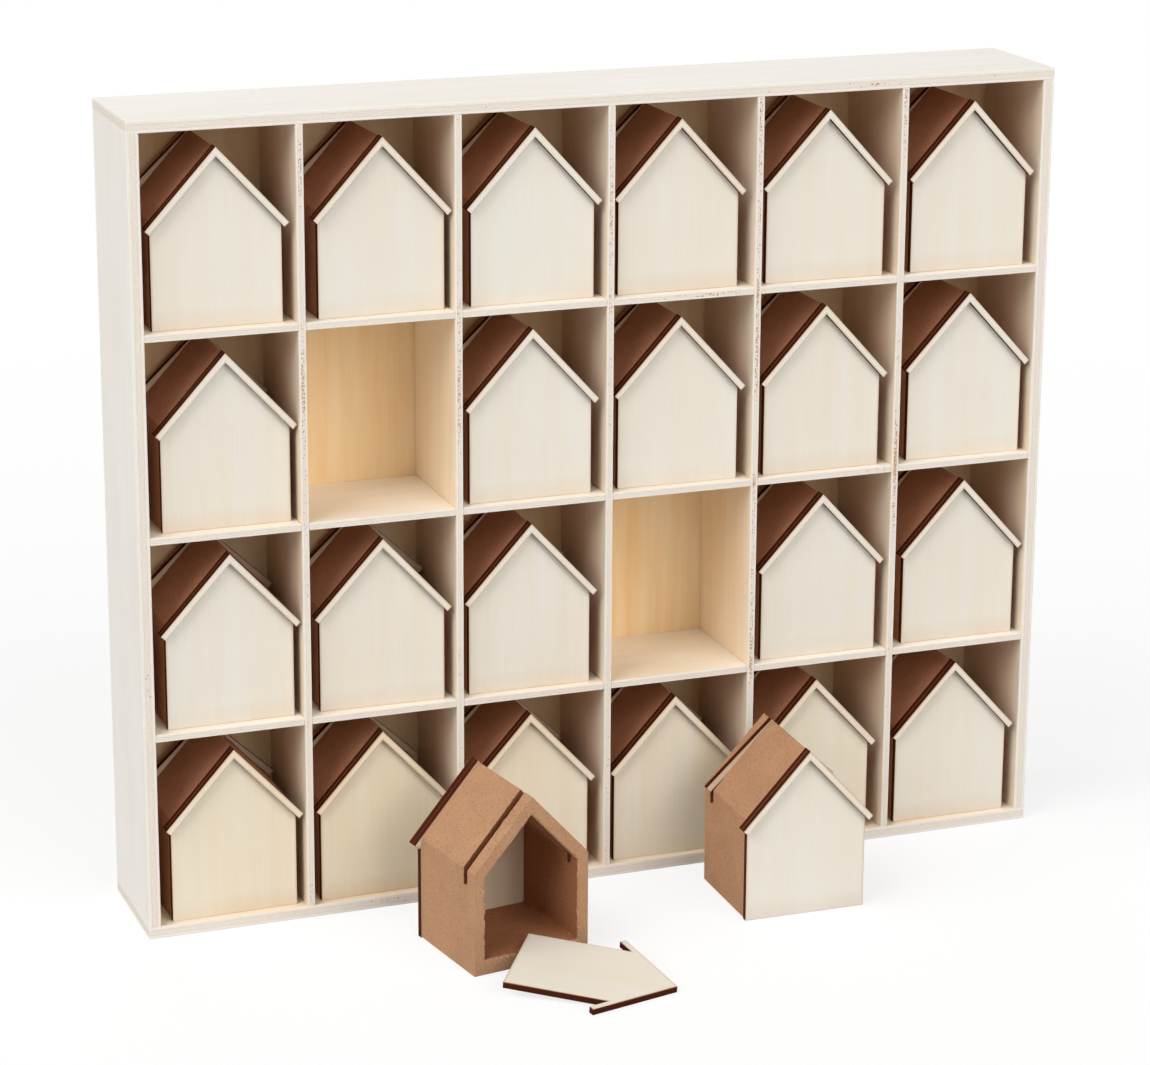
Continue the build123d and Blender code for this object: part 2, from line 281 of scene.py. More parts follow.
def burnt_edge(name, char, brown, toast):
    """Charred edge of laser-cut plywood, with combing across it and a toasted outer ply."""
    material, tree, shader = new_material(name, 0.8, 0.08)
    grain = add(tree, "ShaderNodeUVMap", uv_map="grain").outputs["UV"]
    scale = (1 / (COMB_MM * MM), COMB_BANDS, 1)
    place = add(tree, "ShaderNodeVectorMath", {0: grain, 1: scale}, operation="MULTIPLY").outputs[0]
    comb = add(tree, "ShaderNodeTexNoise", {"Vector": place, "Scale": 1.0, "Detail": 2.0}).outputs["Fac"]
    share = add(tree, "ShaderNodeSeparateXYZ", {0: grain}).outputs[1]
    outer = add(tree, "ShaderNodeMapRange", {"Value": share, **OUTER_PLY}).outputs[0]
    tone = linear(char)
    for cover, colour in ((comb, brown), (outer, toast)):
        coat = add(tree, "ShaderNodeMix", {0: cover, 6: tone, 7: linear(colour)}, data_type="RGBA")
        tone = coat.outputs[2]
    relief = add(tree, "ShaderNodeBump", {"Strength": 0.4, "Distance": COMB_DEPTH, "Height": comb})
    tree.links.new(tone, shader.inputs["Base Color"])
    tree.links.new(relief.outputs[0], shader.inputs["Normal"])
    return material


plate_edge = burnt_edge("laser-burnt edge of birch plywood", "#330f05", "#4f2110", "#b07a50")
print("burnt edge:", plate_edge.name)

# %% [markdown]
# Fibreboard is wood ground to fibre and pressed with resin. Bare, it is an even brown that breaks up
# close by into paler and darker fibre bundles, half a millimetre across. The shells in the cells are
# painted redder than the two in front, as painted warm shade of the cells. The rough faces that the
# router leaves are darker and duller than the pressed ones. The walls of the kerf are darker still:
# singed by the saw, and painted shade of the narrow slot. Its pattern has no direction, so it reads
# Object coordinates and needs no map.

# %% Fibreboard
BUNDLE_MM = 0.5
FIBRE_MM = 1.05
MOTTLE_MM = 16
BUNDLE_DEPTH = 0.12 * MM
PALE_BUNDLES = {"From Min": 0.48, "From Max": 0.72, "To Max": 0.75}
DARK_FIBRES = {"From Min": 0.54, "From Max": 0.74, "To Max": 0.65}
DARK_MOTTLE = {"From Min": 0.35, "From Max": 0.7, "To Max": 0.22}


def fibreboard(name, brown, pale, dark, tear):
    """Raw fibreboard with paler and darker fibre bundles, torn up as much as its tool did."""
    material, tree, shader = new_material(name, 0.82, 0.18)
    point = add(tree, "ShaderNodeTexCoord").outputs["Object"]
    layers = []
    for size, detail in ((BUNDLE_MM, 2.0), (FIBRE_MM, 3.0), (MOTTLE_MM, 2.0)):
        scale = 1 / (size * MM)
        cloud = add(tree, "ShaderNodeTexNoise", {"Vector": point, "Scale": scale, "Detail": detail})
        layers.append(cloud.outputs["Fac"])
    tone = linear(brown)
    for layer, reach, colour in zip(layers, (PALE_BUNDLES, DARK_FIBRES, DARK_MOTTLE), (pale, dark, dark)):
        cover = add(tree, "ShaderNodeMapRange", {"Value": layer, **reach}).outputs[0]
        coat = add(tree, "ShaderNodeMix", {0: cover, 6: tone, 7: linear(colour)}, data_type="RGBA")
        tone = coat.outputs[2]
    relief = add(tree, "ShaderNodeBump", {"Strength": tear, "Distance": BUNDLE_DEPTH, "Height": layers[0]})
    tree.links.new(tone, shader.inputs["Base Color"])
    tree.links.new(relief.outputs[0], shader.inputs["Normal"])
    return material


pressed_board = fibreboard("pressed face of fibreboard", "#b38866", "#caa382", "#8c6246", 0.3)
# Painted shade: this copy of the fibreboard is redder to stand for the warm shade deep in the cells.
redder_board_as_painted_shade = fibreboard("pressed face of fibreboard, redder as painted shade", "#ae785b", "#c38f6e", "#85533d", 0.3)
routed_board = fibreboard("routed face of fibreboard", "#a06a47", "#b7835e", "#7a4a2f", 0.6)
# Singed by the saw, and darker still as painted shade of the narrow slot.
kerf_board_singed_and_shaded = fibreboard("sawn kerf in fibreboard, singed and painted shade", "#6f4226", "#8a5636", "#4c2a17", 0.8)
print("fibreboard:", [board.name for board in (pressed_board, redder_board_as_painted_shade, routed_board, kerf_board_singed_and_shaded)])

# %% [markdown]
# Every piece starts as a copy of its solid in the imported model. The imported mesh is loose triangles, so
# the copy is merged and its flat faces are made whole again. A house is worked on in its own axes, with
# x to its right, y from its front to its open end and z up. Those axes are read off the shell: its
# ridge gives the direction, and the front panel says which end is the front.

# %% Solids from the frame
TOUCH = 0.02 * MM
FLAT = math.radians(1)
SHARP = math.radians(12)
STRAIGHT_UP = Vector((0, 0, 1))


def corners(node):
    """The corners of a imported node, one per row."""
    mesh = frame["nodes"][node].data
    rows = np.zeros(len(mesh.vertices) * 3)
    mesh.vertices.foreach_get("co", rows)
    return rows.reshape(-1, 3)


def solid(node, axes=Matrix()):
    """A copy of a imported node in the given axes, with whole faces."""
    shape = bmesh.new()
    shape.from_mesh(frame["nodes"][node].data)
    bmesh.ops.transform(shape, matrix=axes.inverted(), verts=shape.verts)
    bmesh.ops.remove_doubles(shape, verts=shape.verts, dist=TOUCH)
    bmesh.ops.dissolve_limit(shape, angle_limit=FLAT, verts=shape.verts, edges=shape.edges)
    shape.normal_update()
    return shape


def house_axes(shell, front):
    """A house's own axes: they stand on the floor under the middle of its ridge."""
    box = corners(shell)
    ridge = box[box[:, 2] > box[:, 2].max() - TOUCH]
    one = ridge[np.argmax(((ridge - ridge[0]) ** 2).sum(1))]
    other = ridge[np.argmax(((ridge - one) ** 2).sum(1))]
    middle = (one + other) / 2
    depth = Vector(one - other).normalized()
    reach = (corners(front) - middle) @ np.array(depth)
    if abs(reach.max()) > abs(reach.min()):
        depth.negate()
    side = depth.cross(STRAIGHT_UP)
    axes = Matrix((side, depth, STRAIGHT_UP)).transposed().to_4x4()
    axes.translation = (middle[0], middle[1], box[:, 2].min())
    return axes


bodies = frame["record"]["behaviour"]["bodies"]
house_names = [body for body in bodies if f"{body}_shell" in frame["nodes"]]
house_places = {}
for body in house_names:
    front = f"{body}_plywood" if f"{body}_plywood" in frame["nodes"] else f"{body}_front_panel"
    house_places[body] = house_axes(f"{body}_shell", front)
print(len(house_places), "houses")

# %% [markdown]
# No real edge is a perfect line. Sanding rounds it, a saw leaves it a little ragged, and a router tears
# the fibreboard where it breaks out. A bevel could give all edges one even width. Here the bevel is
# cut into short steps first, and then each of its corners slides along its own face by a smooth noise,
# so that the width wanders as far as the tool that cut the edge would let it. The tearing comes in
# patches, and it fades towards the ends of an edge, so that two ragged edges never cross at a corner.

# %% Worn edges
BREAK = 0.3 * MM
EDGE_GRADES = {
    "sanded": {"step": 5 * MM, "width": 0.8, "wander": 0.55},
    "sawn": {"step": 0.8 * MM, "width": 1.0, "wander": 1.9},
    "routed": {"step": 0.8 * MM, "width": 1.8, "wander": 4.2},
}
RAGGED_WANDER = 1.0
WANDER_MM = 1.9
FINER = 2.3
SIDES_APART = 7
PATCH_MM = 21
PATCH_MEAN, PATCH_LEAST = 0.6, 0.15
LEAST_WIDTH = 0.15
CORNER_REACH = 2.5 * MM


def wear(shape, grade_of):
    """Breaks every sharp edge as wide and as ragged as its grade says."""
    sharp = [edge for edge in shape.edges if edge.calc_face_angle(0) > SHARP]
    grades = [EDGE_GRADES[grade_of(edge)] for edge in sharp]
    starts = np.array([edge.verts[0].co for edge in sharp])
    spans = np.array([edge.verts[1].co for edge in sharp]) - starts
    for edge, grade in zip(sharp, grades):
        cuts = int(edge.calc_length() / grade["step"])
        if cuts:
            bmesh.ops.subdivide_edges(shape, edges=[edge], cuts=cuts)
    sharp = [edge for edge in shape.edges if edge.calc_face_angle(0) > SHARP]
    bevel = bmesh.ops.bevel(shape, geom=sharp, offset=BREAK, segments=1, profile=0.5, affect="EDGES")
    lengths = (spans ** 2).sum(1)
    torn = set()
    for vert in shape.verts:
        shares = np.clip(((np.array(vert.co) - starts) * spans).sum(1) / lengths, 0, 1)
        feet = starts + shares[:, None] * spans
        nearest = np.argmin(((feet - np.array(vert.co)) ** 2).sum(1))
        foot = Vector(feet[nearest])
        offset = vert.co - foot
        spot = foot / (WANDER_MM * MM) + offset / BREAK * SIDES_APART
        roughness = noise.noise(spot) + noise.noise(spot * FINER) / 2
        patch = max(PATCH_LEAST, PATCH_MEAN + noise.noise(foot / (PATCH_MM * MM)))
        to_corner = min(shares[nearest], 1 - shares[nearest]) * math.sqrt(lengths[nearest])
        patch *= min(1.0, to_corner / CORNER_REACH)
        width = grades[nearest]["width"] + grades[nearest]["wander"] * roughness * patch
        vert.co = foot + offset * max(LEAST_WIDTH, width)
        if grades[nearest]["wander"] > RAGGED_WANDER:
            torn.add(vert)
    ragged = shape.edges.layers.int.new("ragged")
    slopes = set(bevel["faces"])
    for edge in shape.edges:
        rim = len(slopes.intersection(edge.link_faces)) == 1
        edge[ragged] = int(rim and torn.issuperset(edge.verts))
    shape.normal_update()
    return shape


print("edge grades:", ", ".join(EDGE_GRADES))

# %% [markdown]
# The grain is laid on after the shape is done. A face that looks along the thickness of the sheet is
# veneer and gets metres across and along the grain. Any other face is an edge, and gets its run along
# the edge and its share of the thickness.

# %% Grain
VENEER_LEAN = 0.9


def lay_grain(shape, across, grain, shift=(0.0, 0.0)):
    """Marks each face as veneer (material 0) or edge (material 1) and maps the grain on it."""
    layer = shape.loops.layers.uv.new("grain")
    heights = [vert.co.dot(across) for vert in shape.verts]
    low, thickness = min(heights), max(heights) - min(heights)
    beside = grain.cross(across)
    for face in shape.faces:
        face.material_index = int(abs(face.normal.dot(across)) < VENEER_LEAN)
        run = across.cross(face.normal)
        for loop in face.loops:
            spot = loop.vert.co
            if face.material_index:
                loop[layer].uv = (spot.dot(run), (spot.dot(across) - low) / thickness)
            else:
                loop[layer].uv = (spot.dot(beside) + shift[0], spot.dot(grain) + shift[1])
    return shape


def to_object(shape, name, materials):
    """A mesh object of the finished shape, at the origin."""
    mesh = bpy.data.meshes.new(name)
    shape.to_mesh(mesh)
    shape.free()
    for material in materials:
        mesh.materials.append(material)
    piece = bpy.data.objects.new(name, mesh)
    bpy.context.scene.collection.objects.link(piece)
    return piece


# %% [markdown]
# The core of cheap plywood is patched and torn. Along the front edges of the real cabinet that shows as
# rows of dark pits, and as reddish holes of a few millimetres at some crossings. They could be painted,
# but a pit has depth and catches shade from every side. So the core of each front edge is cut into
# small quads first. A seeded noise shakes their corners, or the pits would look like brickwork.

# %% Front edges with an open core
PLY_SHARES = (0.29, 0.71)
CORE_STEP = 0.5 * MM
CORE_ROWS = 3
CROSSING_REACH = 7 * MM
FRONT_LEAN = 0.99
RUNG_LEAN = 0.9
JITTER_MM = 0.7
CORE_JITTER = 0.2 * MM
CORE_SEED = 24
noise.seed_set(CORE_SEED)


def open_front(shape, across, front, levels=()):
    """Cuts a board's front edge at its glue lines, and its core into small uneven quads. Those near one
    of the given levels are marked as lying at a crossing."""
    mark = shape.faces.layers.int.new("core")
    strips = [face for face in shape.faces
              if face.normal.y < -FRONT_LEAN and face.calc_center_median().y < front + TOUCH]
    heights = [vert.co.dot(across) for vert in shape.verts]
    low, thickness = min(heights), max(heights) - min(heights)
    for share in PLY_SHARES:
        parts = list(dict.fromkeys(part for face in strips for part in (*face.verts, *face.edges, face)))
        cut = bmesh.ops.bisect_plane(shape, geom=parts, plane_no=across,
                                     plane_co=across * (low + share * thickness))
        strips = [part for part in cut["geom"] if isinstance(part, bmesh.types.BMFace)]
    for face in strips:
        share = (face.calc_center_median().dot(across) - low) / thickness
        face[mark] = int(PLY_SHARES[0] < share < PLY_SHARES[1])
    for face in [face for face in strips if face[mark]]:
        long_edges = sorted(face.edges, key=lambda edge: edge.calc_length())[-2:]
        cuts = max(1, int(long_edges[0].calc_length() / CORE_STEP))
        bmesh.ops.subdivide_edges(shape, edges=long_edges, cuts=cuts, use_grid_fill=True)
    rungs = dict.fromkeys(edge for face in shape.faces if face[mark] for edge in face.edges
                          if abs((edge.verts[0].co - edge.verts[1].co).normalized().dot(across)) > RUNG_LEAN)
    bmesh.ops.subdivide_edges(shape, edges=list(rungs), cuts=CORE_ROWS - 1, use_grid_fill=True)
    for vert in shape.verts:
        if all(face[mark] for face in vert.link_faces):
            shift = noise.noise_vector(vert.co / (JITTER_MM * MM)) * CORE_JITTER
            vert.co += Vector((shift.x, 0, shift.z))
    crossing = shape.faces.layers.float.new("crossing")
    for face in shape.faces:
        if face[mark] and len(levels):
            reach = min(abs(face.calc_center_median().z - level) for level in levels)
            face[crossing] = max(0.0, 1 - reach / CROSSING_REACH)
    return shape


# %% [markdown]
# Detail that repeats by the hundred comes from Geometry Nodes. Each tree has named inputs, so its sizes
# and its seed are set from outside. It could stay on the piece as a modifier, but a part for reuse
# should be plain, so the result is kept as a mesh and the modifier is taken off.


# %% Helpers for node trees
def new_tree(name, sockets):
    """An empty geometry tree with named inputs, and its input and output nodes."""
    tree = bpy.data.node_groups.new(name, "GeometryNodeTree")
    tree.interface.new_socket("Geometry", in_out="INPUT", socket_type="NodeSocketGeometry")
    for label, kind in sockets.items():
        tree.interface.new_socket(label, in_out="INPUT", socket_type=f"NodeSocket{kind}")
    tree.interface.new_socket("Geometry", in_out="OUTPUT", socket_type="NodeSocketGeometry")
    return tree, add(tree, "NodeGroupInput").outputs, add(tree, "NodeGroupOutput").inputs


def run_tree(piece, tree, values):
    """Runs a geometry tree on a piece with the given inputs, and keeps the result as its plain mesh."""
    modifier = piece.modifiers.new(tree.name, "NODES")
    modifier.node_group = tree
    for item in tree.interface.items_tree:
        if item.name in values and item.in_out == "INPUT":
            modifier[item.identifier] = values[item.name]
    depsgraph = bpy.context.evaluated_depsgraph_get()
    mesh = bpy.data.meshes.new_from_object(piece.evaluated_get(depsgraph), preserve_all_data_layers=True,
                                           depsgraph=depsgraph)
    piece.modifiers.remove(modifier)
    piece.data = mesh
    mesh.name = piece.name
    return piece


# %% [markdown]
# A pit opens where a fine and a wide noise add up to more than a threshold, and more easily at the
# crossings, where the saw tore the core. Each quad could be pushed in by itself, but thin walls would
# be left standing between them, so whole groups go in together. The bottom and the walls of a pit
# show the torn fibre, and are painted darker as the shade inside the pit.

# %% Node tree for the torn core
pit_tree, pit_in, pit_out = new_tree("torn core", {
    "Pit size": "Float", "Patch size": "Float", "Threshold": "Float", "Crossing tear": "Float",
    "Depth": "Float", "Seed": "Float", "Torn core and shade": "Material"})
spot = add(pit_tree, "GeometryNodeInputPosition").outputs[0]
layers = []
for size in ("Pit size", "Patch size"):
    place = add(pit_tree, "ShaderNodeVectorMath", {0: spot, 1: pit_in[size]}, operation="DIVIDE").outputs[0]
    cloud = add(pit_tree, "ShaderNodeTexNoise", {
        "Vector": place, "W": pit_in["Seed"], "Scale": 1.0, "Detail": 1.0}, noise_dimensions="4D")
    layers.append(cloud.outputs["Fac"])
total = add(pit_tree, "ShaderNodeMath", {0: layers[0], 1: layers[1]}, operation="ADD").outputs[0]
crossing = add(pit_tree, "GeometryNodeInputNamedAttribute", {"Name": "crossing"}, data_type="FLOAT")
total = add(pit_tree, "ShaderNodeMath", {
    0: crossing.outputs[0], 1: pit_in["Crossing tear"], 2: total}, operation="MULTIPLY_ADD").outputs[0]
open_spot = add(pit_tree, "FunctionNodeCompare", {0: total, 1: pit_in["Threshold"]},
                data_type="FLOAT", operation="GREATER_THAN").outputs[0]
core_face = add(pit_tree, "GeometryNodeInputNamedAttribute", {"Name": "core"}, data_type="BOOLEAN")
torn = add(pit_tree, "FunctionNodeBooleanMath", {0: open_spot, 1: core_face.outputs[0]}, operation="AND")
inwards = add(pit_tree, "ShaderNodeMath", {0: pit_in["Depth"], 1: -1.0}, operation="MULTIPLY").outputs[0]
pits = add(pit_tree, "GeometryNodeExtrudeMesh", {
    "Mesh": pit_in["Geometry"], "Selection": torn.outputs[0], "Offset Scale": inwards,
    "Individual": False}).outputs
inside = add(pit_tree, "FunctionNodeBooleanMath", {0: pits["Top"], 1: pits["Side"]}, operation="OR")
plain = add(pit_tree, "GeometryNodeRealizeInstances", {"Geometry": pits["Mesh"]}).outputs[0]
dark = add(pit_tree, "GeometryNodeSetMaterial", {
    "Geometry": plain, "Selection": inside.outputs[0], "Material": pit_in["Torn core and shade"]})
pit_tree.links.new(dark.outputs[0], pit_out["Geometry"])
print("tree:", pit_tree.name)

# %% [markdown]
# The cabinet is glued from plywood boards. The top and bottom run over the sides, and the grid is halved:
# dividers slotted from the back, shelves from the front, so that the dividers run through in front.
# Each board keeps its own grain direction, the long way of the board, and its own patch of veneer. The
# faces that look into the cabinet were never sanded, and they are painted warmer as the shade of the
# cells. The cores of the dividers are torn the most.

# %% Cabinet
ACROSS = {"top_board": "Z", "bottom_board": "Z", "shelves": "Z", "back_panel": "Y",
          "left_side": "X", "right_side": "X", "dividers": "X"}
AXES = {"X": Vector((1, 0, 0)), "Y": Vector((0, 1, 0)), "Z": STRAIGHT_UP}
INSIDE_BOARDS = {"dividers": inner_veneer_with_painted_shade, "shelves": shelf_veneer_with_painted_shade, "back_panel": back_veneer_with_painted_shade}
SHEET_SHIFT = 0.37
PITS = {"Pit size": 0.8 * MM, "Patch size": 60 * MM, "Crossing tear": 0.1, "Depth": 0.2 * MM, "Seed": 24.0,
        "Torn core and shade": torn_core_with_painted_shade}
PIT_THRESHOLDS = {"dividers": 1.2, "shelves": 1.34, "left_side": 1.28, "right_side": 1.3}
SOUND_CORE = 1.35
shelf_levels = np.unique(corners("shelves")[:, 2].round(5)).reshape(-1, 2).mean(1)


def split_islands(shape):
    """The separate solids of a shape, each in a shape of its own."""
    shape.faces.ensure_lookup_table()
    shape.faces.index_update()
    islands, done = [], set()
    for start in range(len(shape.faces)):
        if start in done:
            continue
        group, queue = {start}, [shape.faces[start]]
        while queue:
            near = [face for edge in queue.pop().edges for face in edge.link_faces
                    if face.index not in group]
            group.update(face.index for face in near)
            queue += near
        done |= group
        island = shape.copy()
        island.faces.index_update()
        rest = [face for face in island.faces if face.index not in group]
        bmesh.ops.delete(island, geom=rest, context="FACES")
        islands.append(island)
    shape.free()
    return islands


def merged(shapes):
    """One shape that holds all the given ones."""
    whole = bmesh.new()
    for shape in shapes:
        part = bpy.data.meshes.new("part")
        shape.to_mesh(part)
        whole.from_mesh(part)
        bpy.data.meshes.remove(part)
    return whole


def dress_board(node, number):
    """A board of the cabinet, or a set of boards, with worn edges, grain and an open core in front."""
    across = AXES[ACROSS[node]]
    grain = AXES["X"] if ACROSS[node] == "Z" else STRAIGHT_UP
    shape = solid(node)
    front = min(vert.co.y for vert in shape.verts)
    islands = split_islands(shape)
    for place, island in enumerate(islands):
        wear(island, lambda edge: "sanded")
        if node != "back_panel":
            open_front(island, across, front, shelf_levels if node == "dividers" else ())
        lay_grain(island, across, grain, (SHEET_SHIFT * (number + place), SHEET_SHIFT * place))
    whole = merged(islands)
    # Faces that look into the cabinet take the inside veneer, warmer as painted shade.
    middle = Vector((0, 0, (cad_box[0][2] + cad_box[1][2]) / 2))
    for face in whole.faces:
        if face.material_index == 0 and face.normal.dot(middle - face.calc_center_median()) > 0:
            face.material_index = 2
    outside, inside = (INSIDE_BOARDS.get(node, veneer) for veneer in (board_veneer, inner_veneer_with_painted_shade))
    piece = to_object(whole, f"{node}.wood", [outside, board_edge, inside])
    if node != "back_panel":
        run_tree(piece, pit_tree, {**PITS, "Threshold": PIT_THRESHOLDS.get(node, SOUND_CORE)})
    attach(piece, "cabinet")
    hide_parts(node)
    return piece


cabinet = [dress_board(node, number) for number, node in enumerate(ACROSS)]
print("cabinet:", sum(len(piece.data.polygons) for piece in cabinet), "faces")

# %% [markdown]
# A house has four pieces, and all houses are cut from the same drawing. So each piece is made once, in
# the house's own axes, from the solids of the closed house. The three plywood pieces are laser-cut:
# their edges are crisp and burnt, and two rings just inside the cut carry the scorch.

# %% Plywood pieces of a house
LASER_BREAK = 0.1 * MM
SCORCH_RINGS = ((0.45 * MM, 0.45), (0.75 * MM, 0.0))
FOOT_HEIGHT = 10 * MM
FOOT_MARGIN = 2 * MM
FOOT_SCORCH_AND_BOUNCE = 0.42


def laser_plate(node, axes, across, grain=STRAIGHT_UP, foot_scorch_and_bounce=False):
    """A laser-cut plate with crisp edges, grain, and a scorch that fades from its cuts. When asked, it is
    also tinted warmer along its foot: partly toasted by the laser's smoke, partly painted warm bounce
    light from the shelf below."""
    shape = solid(node, axes)
    sharp = [edge for edge in shape.edges if edge.calc_face_angle(0) > SHARP]
    bmesh.ops.bevel(shape, geom=sharp, offset=LASER_BREAK, segments=1, profile=0.5, affect="EDGES")
    shape.normal_update()
    burn = shape.verts.layers.float.new("scorch")
    for vert in shape.verts:
        vert[burn] = 1.0
    faces = [face for face in shape.faces if abs(face.normal.dot(across)) > math.cos(FLAT)]
    for width, strength in SCORCH_RINGS:
        bmesh.ops.inset_region(shape, faces=faces, thickness=width, use_even_offset=True)
        for face in faces:
            for vert in face.verts:
                vert[burn] = strength
    # Painted light in part: the foot is tinted warmer, partly smoke scorch, partly painted warm bounce light
    # from the shelf below.
    if foot_scorch_and_bounce:
        foot = min(vert.co.z for vert in shape.verts)
        parts = list(dict.fromkeys(part for face in faces for part in (*face.verts, *face.edges, face)))
        bmesh.ops.bisect_plane(shape, geom=parts, plane_no=STRAIGHT_UP, plane_co=(0, 0, foot + FOOT_HEIGHT))
        for vert in shape.verts:
            if vert[burn] == 0 and vert.co.z < foot + FOOT_MARGIN:
                vert[burn] = FOOT_SCORCH_AND_BOUNCE
    shape.normal_update()
    lay_grain(shape, across, grain)
    # The rear faces take the third finish, veneer darkened as painted shade.
    for face in shape.faces:
        if face.normal.dot(across) < -VENEER_LEAN:
            face.material_index = 2
    return shape


pattern_axes = house_places["closed_house"]
GOOD_SIDES = {"front_panel": -AXES["Y"], "bargeboard": -AXES["Y"], "slide_plate": AXES["Y"]}
plate_shapes = {name: laser_plate(f"closed_house_{name}", pattern_axes, side, foot_scorch_and_bounce=name == "front_panel")
                for name, side in GOOD_SIDES.items()}
print("plates:", {name: len(shape.faces) for name, shape in plate_shapes.items()})

# %% [markdown]
# The shell is a gable box of fibreboard. Its outside is pressed and sanded, the opening was routed and
# its edge broke out in small bites, and the kerf for the slide plate was sawn down through the roof.
# The end that is glued to the front panel was cut clean. The grade of each edge is told from the two
# faces that meet there, and from where it lies.

# %% Fibreboard shell of a house
shell_shape = solid("closed_house_shell", pattern_axes)
shell_ends = [function(vert.co.y for vert in shell_shape.verts) for function in (min, max)]
shell_middle = max(vert.co.z for vert in shell_shape.verts) / 2
END_MARGIN = 1 * MM
END_LEAN = 0.9
SIDE_LEAN = 0.1


def in_kerf(face):
    """Whether a face is a wall or the bottom of the kerf."""
    middle = face.calc_center_median()
    inside = shell_ends[0] + END_MARGIN < middle.y < shell_ends[1] - END_MARGIN
    return inside and abs(face.normal.y) > END_LEAN


def faces_in(face):
    """Whether a face looks at the hollow of the shell."""
    middle = face.calc_center_median() - Vector((0, 0, shell_middle))
    return abs(face.normal.y) < SIDE_LEAN and face.normal.dot(Vector((middle.x, 0, middle.z))) < 0


def shell_grade(edge):
    """The tool that cut an edge of the shell."""
    if any(in_kerf(face) for face in edge.link_faces):
        return "sawn"
    glued = all(vert.co.y < shell_ends[0] + END_MARGIN for vert in edge.verts)
    return "routed" if any(faces_in(face) for face in edge.link_faces) and not glued else "sanded"


rough_faces = shell_shape.faces.layers.int.new("rough")
for face in shell_shape.faces:
    face[rough_faces] = 2 if in_kerf(face) else int(faces_in(face))
wear(shell_shape, shell_grade)
for face in shell_shape.faces:
    face.material_index = face[rough_faces]
print("shell:", len(shell_shape.faces), "faces")

# %% [markdown]
# The saw and the router also leave fuzz: short stiff fibres that stand out of the cut. They follow the
# ragged edges, so a node tree takes those edges as curves, spaces points along them and stands a
# sliver on each, turned and sized by a seeded random value.

# %% Node tree for sawn fuzz
SHORTEST_FIBRE = 0.35
fuzz_tree, fuzz_in, fuzz_out = new_tree("sawn fuzz", {
    "Spacing": "Float", "Length": "Float", "Width": "Float", "Seed": "Int", "Fibre": "Material"})
rough_edge = add(fuzz_tree, "GeometryNodeInputNamedAttribute", {"Name": "ragged"}, data_type="BOOLEAN")
cuts = add(fuzz_tree, "GeometryNodeMeshToCurve", {
    "Mesh": fuzz_in["Geometry"], "Selection": rough_edge.outputs[0]}).outputs[0]
beads = add(fuzz_tree, "GeometryNodeResampleCurve", {
    "Curve": cuts, "Length": fuzz_in["Spacing"]}, mode="LENGTH").outputs[0]
points = add(fuzz_tree, "GeometryNodeCurveToPoints", {"Curve": beads}, mode="EVALUATED")
sliver = add(fuzz_tree, "GeometryNodeMeshCone", {
    "Vertices": 3, "Radius Top": 0.0, "Radius Bottom": fuzz_in["Width"], "Depth": fuzz_in["Length"]},
    fill_type="TRIANGLE_FAN")
turn = add(fuzz_tree, "FunctionNodeRandomValue", {
    "Min": (0, 0, 0), "Max": [math.tau] * 3, "Seed": fuzz_in["Seed"]}, data_type="FLOAT_VECTOR")
size = add(fuzz_tree, "FunctionNodeRandomValue", {
    2: SHORTEST_FIBRE, 3: 1.0, "Seed": fuzz_in["Seed"]}, data_type="FLOAT")
fibres = add(fuzz_tree, "GeometryNodeInstanceOnPoints", {
    "Points": points.outputs["Points"], "Instance": sliver.outputs["Mesh"], "Rotation": turn.outputs[0],
    "Scale": size.outputs[1]}).outputs[0]
real = add(fuzz_tree, "GeometryNodeRealizeInstances", {"Geometry": fibres}).outputs[0]
marked = add(fuzz_tree, "GeometryNodeStoreNamedAttribute", {
    "Geometry": real, "Name": "finish", "Value": 1}, data_type="INT", domain="FACE").outputs[0]
coat = add(fuzz_tree, "GeometryNodeSetMaterial", {"Geometry": marked, "Material": fuzz_in["Fibre"]})
both = add(fuzz_tree, "GeometryNodeJoinGeometry")
fuzz_tree.links.new(coat.outputs[0], both.inputs[0])
fuzz_tree.links.new(fuzz_in["Geometry"], both.inputs[0])
fuzz_tree.links.new(both.outputs[0], fuzz_out["Geometry"])
print("tree:", fuzz_tree.name)

# %% [markdown]
# Now the houses. One tree takes a finished pattern piece and stands it where a house is: it slides the
# grain to another part of the sheet, so that no two fronts are alike, and then turns and moves the
# piece. Copies could share one mesh, but each house is a body of its own that is pulled out by itself.
# The third finish is the kerf of a shell, or the rear of a plate; both are darker as painted shade.

# %% Node tree that stands a piece in its house
stand_tree, stand_in, stand_out = new_tree("stand in a house", {
    "Place": "Vector", "Turn": "Float", "Grain shift": "Vector", "Face": "Material", "Edge": "Material",
    "Kerf": "Material"})
finish = add(stand_tree, "GeometryNodeInputNamedAttribute", {"Name": "finish"}, data_type="INT").outputs[0]
is_face, is_edge, is_kerf = (
    add(stand_tree, "FunctionNodeCompare", {2: finish, 3: number}, data_type="INT",
        operation="EQUAL").outputs[0] for number in range(3))
grain_map = add(stand_tree, "GeometryNodeInputNamedAttribute", {"Name": "grain"}, data_type="FLOAT_VECTOR")
moved = add(stand_tree, "ShaderNodeVectorMath", {
    0: grain_map.outputs[0], 1: stand_in["Grain shift"]}, operation="ADD").outputs[0]
stored = add(stand_tree, "GeometryNodeStoreNamedAttribute", {
    "Geometry": stand_in["Geometry"], "Selection": is_face, "Name": "grain", "Value": moved},
    data_type="FLOAT2", domain="CORNER").outputs[0]
upright = add(stand_tree, "ShaderNodeCombineXYZ", {2: stand_in["Turn"]}).outputs[0]
